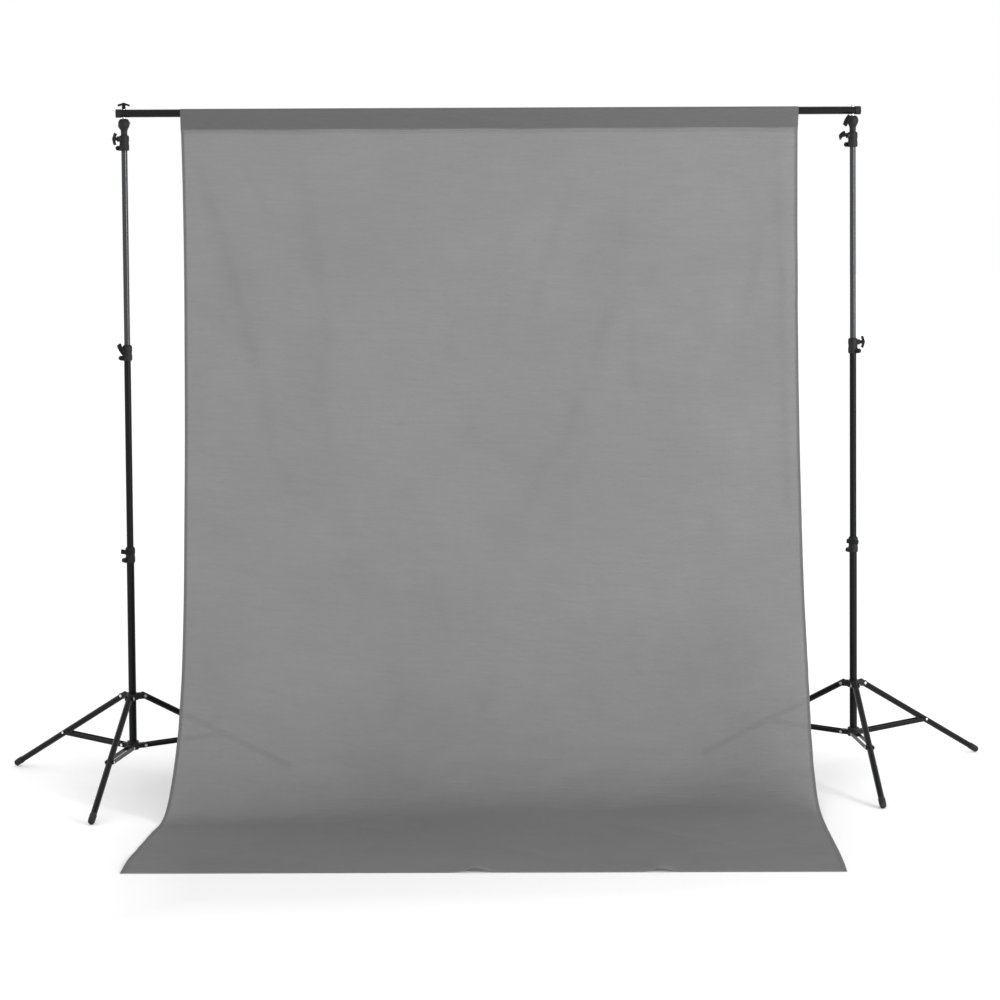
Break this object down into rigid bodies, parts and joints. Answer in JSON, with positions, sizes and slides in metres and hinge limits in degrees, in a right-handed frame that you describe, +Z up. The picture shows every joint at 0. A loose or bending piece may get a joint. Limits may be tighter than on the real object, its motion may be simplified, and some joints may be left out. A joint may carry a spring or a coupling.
{
  "type": "background support system",
  "caption": "Backdrop stand: twin telescoping folding light stands carry a plug-together crossbar, with a grey cloth backdrop that hangs from it and sweeps onto the floor.",
  "frame": {"origin": "on the floor, under the middle of the whole object's bounding box", "axes": "+X along the crossbar, +Y behind the hanging cloth, +Z up; the cloth sweeps out over the floor towards -Y"},
  "size_m": [2.9984, 1.4584, 2.019],
  "materials": {
    "tube_paint": "satin black coat on aluminium tube",
    "crossbar_paint": "satin black coat on aluminium tube",
    "brace_paint": "black coated flat steel bar",
    "black_plastic": "fine-grained moulded nylon",
    "knob_plastic": "fine-grained moulded nylon",
    "rubber": "matt moulded rubber",
    "bright_steel": "bright zinc-plated steel",
    "cloth": "grey woven muslin, slightly see-through"
  },
  "bodies": {
    "left_base": {"left_base_tube": "tube_paint", "left_lower_collar": "black_plastic", "left_brace_hub": "black_plastic", "left_brace_pins": "bright_steel"},
    "left_mid": {"left_mid_tube": "tube_paint", "left_middle_collar": "black_plastic"},
    "left_upper": {"left_upper_tube": "tube_paint", "left_upper_collar": "black_plastic"},
    "left_top": {"left_top_tube": "tube_paint", "left_head": "black_plastic", "left_stud": "bright_steel"},
    "left_leg_slider": {"left_leg_hub": "black_plastic", "left_leg_pins": "bright_steel"},
    "left_front_leg_body": {"left_front_leg": "tube_paint", "left_front_foot": "rubber"},
    "left_front_brace_body": {"left_front_brace": "brace_paint"},
    "left_inner_leg_body": {"left_inner_leg": "tube_paint", "left_inner_foot": "rubber"},
    "left_inner_brace_body": {"left_inner_brace": "brace_paint"},
    "left_outer_leg_body": {"left_outer_leg": "tube_paint", "left_outer_foot": "rubber"},
    "left_outer_brace_body": {"left_outer_brace": "brace_paint"},
    "left_lower_knob_body": {"left_lower_knob": "knob_plastic"},
    "left_middle_knob_body": {"left_middle_knob": "knob_plastic"},
    "left_upper_knob_body": {"left_upper_knob": "knob_plastic"},
    "left_stud_knob_body": {"left_stud_knob": "knob_plastic"},
    "right_base": {"right_base_tube": "tube_paint", "right_lower_collar": "black_plastic", "right_brace_hub": "black_plastic", "right_brace_pins": "bright_steel"},
    "right_mid": {"right_mid_tube": "tube_paint", "right_middle_collar": "black_plastic"},
    "right_upper": {"right_upper_tube": "tube_paint", "right_upper_collar": "black_plastic"},
    "right_top": {"right_top_tube": "tube_paint", "right_head": "black_plastic", "right_stud": "bright_steel"},
    "right_leg_slider": {"right_leg_hub": "black_plastic", "right_leg_pins": "bright_steel"},
    "right_front_leg_body": {"right_front_leg": "tube_paint", "right_front_foot": "rubber"},
    "right_front_brace_body": {"right_front_brace": "brace_paint"},
    "right_outer_leg_body": {"right_outer_leg": "tube_paint", "right_outer_foot": "rubber"},
    "right_outer_brace_body": {"right_outer_brace": "brace_paint"},
    "right_inner_leg_body": {"right_inner_leg": "tube_paint", "right_inner_foot": "rubber"},
    "right_inner_brace_body": {"right_inner_brace": "brace_paint"},
    "right_lower_knob_body": {"right_lower_knob": "knob_plastic"},
    "right_middle_knob_body": {"right_middle_knob": "knob_plastic"},
    "right_upper_knob_body": {"right_upper_knob": "knob_plastic"},
    "right_stud_knob_body": {"right_stud_knob": "knob_plastic"},
    "crossbar": {"crossbar_left": "crossbar_paint", "crossbar_middle": "crossbar_paint", "crossbar_right": "crossbar_paint", "crossbar_caps": "black_plastic"},
    "bar_knob_body": {"bar_knob": "knob_plastic"},
    "backdrop": {"backdrop_pocket": "cloth", "backdrop_sheet": "cloth"}
  },
  "joints": [
    {"name": "left_mid_slide", "type": "slide", "parent": "left_base", "child": "left_mid", "axis": [0, 0, 1], "range_m": [-0.51, 0]},
    {"name": "left_upper_slide", "type": "slide", "parent": "left_mid", "child": "left_upper", "axis": [0, 0, 1], "range_m": [-0.56, 0]},
    {"name": "left_top_slide", "type": "slide", "parent": "left_upper", "child": "left_top", "axis": [0, 0, 1], "range_m": [0, 0.54]},
    {"name": "bar_swivel", "type": "hinge", "parent": "left_top", "child": "crossbar", "pos_m": [-1.10326, 0.41776, 1.988], "axis": [0, 0, 1], "range_deg": [-12, 12]},
    {"name": "right_stand_swivel", "type": "hinge", "parent": "crossbar", "child": "right_top", "pos_m": [1.05674, 0.41776, 1.988], "axis": [0, 0, 1], "range_deg": [-10, 20]},
    {"name": "right_top_slide", "type": "slide", "parent": "right_top", "child": "right_upper", "axis": [0, 0, -1], "range_m": [0, 0.54]},
    {"name": "right_upper_slide", "type": "slide", "parent": "right_upper", "child": "right_mid", "axis": [0, 0, -1], "range_m": [-0.56, 0]},
    {"name": "right_mid_slide", "type": "slide", "parent": "right_mid", "child": "right_base", "axis": [0, 0, -1], "range_m": [-0.51, 0]},
    {"name": "backdrop_slide", "type": "slide", "parent": "crossbar", "child": "backdrop", "axis": [1, 0, 0], "range_m": [-0.08, 0.08]},
    {"name": "bar_knob_turn", "type": "hinge", "parent": "left_top", "child": "bar_knob_body", "pos_m": [-1.10326, 0.41776, 2.008], "axis": [0, 0, 1], "range_deg": [0, 360]},
    {"name": "left_leg_slide", "type": "slide", "parent": "left_base", "child": "left_leg_slider", "axis": [0, 0, 1], "range_m": [0, 0.3755]},
    {"name": "left_front_leg_fold", "type": "hinge", "parent": "left_leg_slider", "child": "left_front_leg_body", "pos_m": [-1.10827, 0.38211, 0.265], "axis": [0.9903, -0.1392, 0], "range_deg": [0, 57.66]},
    {"name": "left_front_brace_fold", "type": "hinge", "parent": "left_base", "child": "left_front_brace_body", "pos_m": [-1.10827, 0.38211, 0.117], "axis": [-0.9903, 0.1392, 0], "range_deg": [0, 84.03]},
    {"name": "left_inner_leg_fold", "type": "hinge", "parent": "left_leg_slider", "child": "left_inner_leg_body", "pos_m": [-1.06988, 0.43125, 0.265], "axis": [-0.3746, 0.9272, 0], "range_deg": [0, 57.66]},
    {"name": "left_inner_brace_fold", "type": "hinge", "parent": "left_base", "child": "left_inner_brace_body", "pos_m": [-1.06988, 0.43125, 0.117], "axis": [0.3746, -0.9272, 0], "range_deg": [0, 84.03]},
    {"name": "left_outer_leg_fold", "type": "hinge", "parent": "left_leg_slider", "child": "left_outer_leg_body", "pos_m": [-1.13163, 0.43993, 0.265], "axis": [-0.6157, -0.788, 0], "range_deg": [0, 57.66]},
    {"name": "left_outer_brace_fold", "type": "hinge", "parent": "left_base", "child": "left_outer_brace_body", "pos_m": [-1.13163, 0.43993, 0.117], "axis": [0.6157, 0.788, 0], "range_deg": [0, 84.03]},
    {"name": "left_lower_knob_turn", "type": "hinge", "parent": "left_base", "child": "left_lower_knob_body", "pos_m": [-1.10973, 0.39361, 0.698], "axis": [-0.2588, -0.9659, 0], "range_deg": [0, 360]},
    {"name": "left_middle_knob_turn", "type": "hinge", "parent": "left_mid", "child": "left_middle_knob_body", "pos_m": [-1.11576, 0.39611, 1.296], "axis": [-0.5, -0.866, 0], "range_deg": [0, 360]},
    {"name": "left_upper_knob_turn", "type": "hinge", "parent": "left_upper", "child": "left_upper_knob_body", "pos_m": [-1.12592, 0.4072, 1.913], "axis": [-0.9063, -0.4226, 0], "range_deg": [0, 360]},
    {"name": "left_stud_knob_turn", "type": "hinge", "parent": "left_top", "child": "left_stud_knob_body", "pos_m": [-1.105, 0.43769, 1.957], "axis": [-0.0872, 0.9962, 0], "range_deg": [0, 360]},
    {"name": "right_leg_slide", "type": "slide", "parent": "right_base", "child": "right_leg_slider", "axis": [0, 0, 1], "range_m": [0, 0.3755]},
    {"name": "right_front_leg_fold", "type": "hinge", "parent": "right_leg_slider", "child": "right_front_leg_body", "pos_m": [1.05548, 0.38178, 0.265], "axis": [0.9994, -0.0349, 0], "range_deg": [0, 57.66]},
    {"name": "right_front_brace_fold", "type": "hinge", "parent": "right_base", "child": "right_front_brace_body", "pos_m": [1.05548, 0.38178, 0.117], "axis": [-0.9994, 0.0349, 0], "range_deg": [0, 84.03]},
    {"name": "right_outer_leg_fold", "type": "hinge", "parent": "right_leg_slider", "child": "right_outer_leg_body", "pos_m": [1.08853, 0.43466, 0.265], "axis": [-0.4695, 0.8829, 0], "range_deg": [0, 57.66]},
    {"name": "right_outer_brace_fold", "type": "hinge", "parent": "right_base", "child": "right_outer_brace_body", "pos_m": [1.08853, 0.43466, 0.117], "axis": [0.4695, -0.8829, 0], "range_deg": [0, 84.03]},
    {"name": "right_inner_leg_fold", "type": "hinge", "parent": "right_leg_slider", "child": "right_inner_leg_body", "pos_m": [1.02621, 0.43684, 0.265], "axis": [-0.5299, -0.848, 0], "range_deg": [0, 57.66]},
    {"name": "right_inner_brace_fold", "type": "hinge", "parent": "right_base", "child": "right_inner_brace_body", "pos_m": [1.02621, 0.43684, 0.117], "axis": [0.5299, 0.848, 0], "range_deg": [0, 84.03]},
    {"name": "right_lower_knob_turn", "type": "hinge", "parent": "right_base", "child": "right_lower_knob_body", "pos_m": [1.05027, 0.39361, 0.698], "axis": [-0.2588, -0.9659, 0], "range_deg": [0, 360]},
    {"name": "right_middle_knob_turn", "type": "hinge", "parent": "right_mid", "child": "right_middle_knob_body", "pos_m": [1.08174, 0.41776, 1.296], "axis": [1, 0, 0], "range_deg": [0, 360]},
    {"name": "right_upper_knob_turn", "type": "hinge", "parent": "right_upper", "child": "right_upper_knob_body", "pos_m": [1.03283, 0.41045, 1.913], "axis": [-0.9563, -0.2924, 0], "range_deg": [0, 360]},
    {"name": "right_stud_knob_turn", "type": "hinge", "parent": "right_top", "child": "right_stud_knob_body", "pos_m": [1.04142, 0.40491, 1.957], "axis": [-0.766, -0.6428, 0], "range_deg": [0, 360]}
  ],
  "couplings": [
    {"joint": "right_top_slide", "follows": "left_top_slide", "ratio": 1},
    {"joint": "right_upper_slide", "follows": "left_upper_slide", "ratio": 1},
    {"joint": "right_mid_slide", "follows": "left_mid_slide", "ratio": 1},
    {"joint": "left_front_leg_fold", "follows": "left_leg_slide", "rad_per_m": 2.68},
    {"joint": "left_front_brace_fold", "follows": "left_leg_slide", "rad_per_m": 3.9057},
    {"joint": "left_inner_leg_fold", "follows": "left_leg_slide", "rad_per_m": 2.68},
    {"joint": "left_inner_brace_fold", "follows": "left_leg_slide", "rad_per_m": 3.9057},
    {"joint": "left_outer_leg_fold", "follows": "left_leg_slide", "rad_per_m": 2.68},
    {"joint": "left_outer_brace_fold", "follows": "left_leg_slide", "rad_per_m": 3.9057},
    {"joint": "right_front_leg_fold", "follows": "right_leg_slide", "rad_per_m": 2.68},
    {"joint": "right_front_brace_fold", "follows": "right_leg_slide", "rad_per_m": 3.9057},
    {"joint": "right_outer_leg_fold", "follows": "right_leg_slide", "rad_per_m": 2.68},
    {"joint": "right_outer_brace_fold", "follows": "right_leg_slide", "rad_per_m": 3.9057},
    {"joint": "right_inner_leg_fold", "follows": "right_leg_slide", "rad_per_m": 2.68},
    {"joint": "right_inner_brace_fold", "follows": "right_leg_slide", "rad_per_m": 3.9057}
  ]
}
